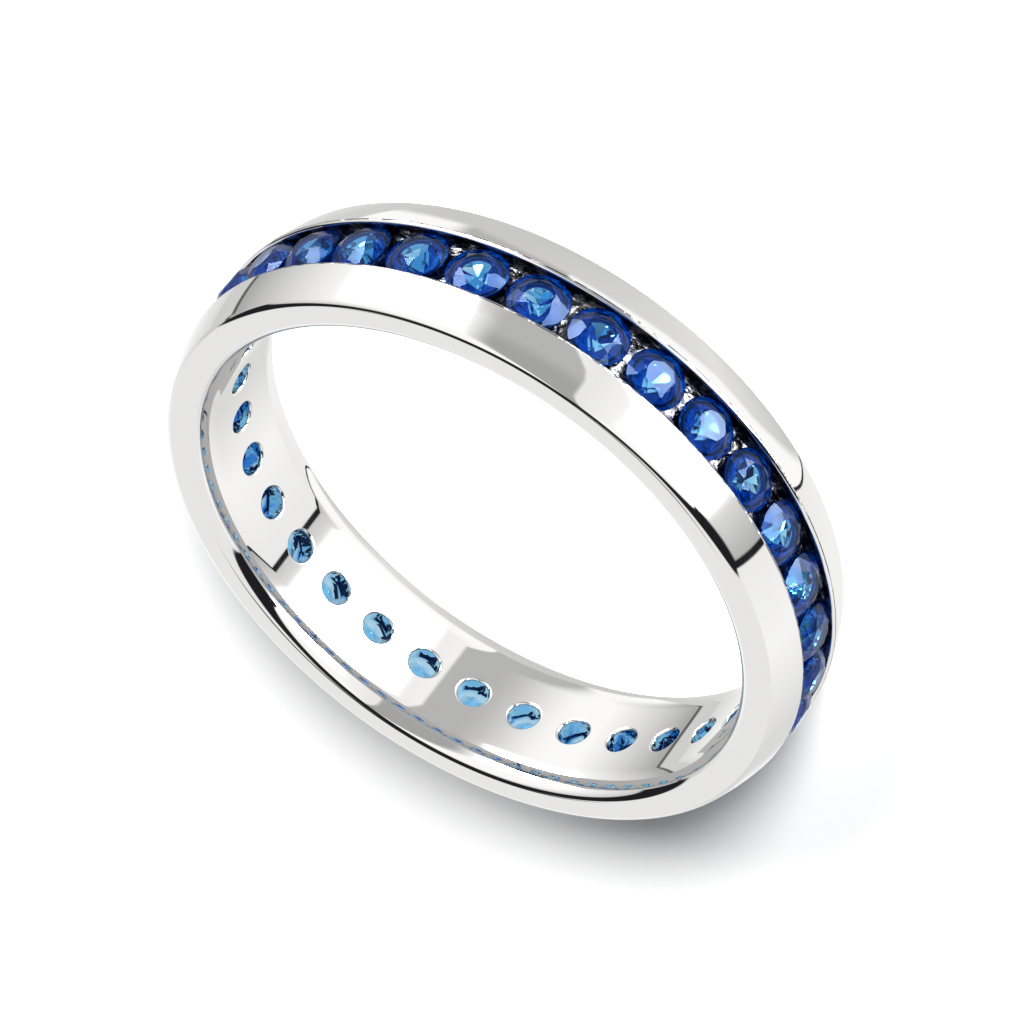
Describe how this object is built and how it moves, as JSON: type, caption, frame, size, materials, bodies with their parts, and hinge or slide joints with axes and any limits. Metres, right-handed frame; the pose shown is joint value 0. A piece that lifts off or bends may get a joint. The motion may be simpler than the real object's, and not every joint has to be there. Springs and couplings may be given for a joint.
{
  "type": "sapphire channel-set eternity band",
  "caption": "Polished white metal finger ring with a channel of round blue sapphires set all the way round between two domed rails.",
  "frame": {"origin": "on the finger axis, in the plane of the lower side face that the band lies on", "axes": "+Z along the finger axis and up from the surface the band lies on, +X through the middle of sapphire_01"},
  "size_m": [0.0204, 0.0204, 0.0044],
  "materials": {
    "white_gold": "polished",
    "sapphire": "gloss"
  },
  "bodies": {
    "root": {"channel_band": "white_gold", "sapphire_01": "sapphire", "sapphire_02": "sapphire", "sapphire_03": "sapphire", "sapphire_04": "sapphire", "sapphire_05": "sapphire", "sapphire_06": "sapphire", "sapphire_07": "sapphire", "sapphire_08": "sapphire", "sapphire_09": "sapphire", "sapphire_10": "sapphire", "sapphire_11": "sapphire", "sapphire_12": "sapphire", "sapphire_13": "sapphire", "sapphire_14": "sapphire", "sapphire_15": "sapphire", "sapphire_16": "sapphire", "sapphire_17": "sapphire", "sapphire_18": "sapphire", "sapphire_19": "sapphire", "sapphire_20": "sapphire", "sapphire_21": "sapphire", "sapphire_22": "sapphire", "sapphire_23": "sapphire", "sapphire_24": "sapphire", "sapphire_25": "sapphire", "sapphire_26": "sapphire", "sapphire_27": "sapphire", "sapphire_28": "sapphire", "sapphire_29": "sapphire", "sapphire_30": "sapphire", "sapphire_31": "sapphire", "sapphire_32": "sapphire"}
  },
  "joints": []
}
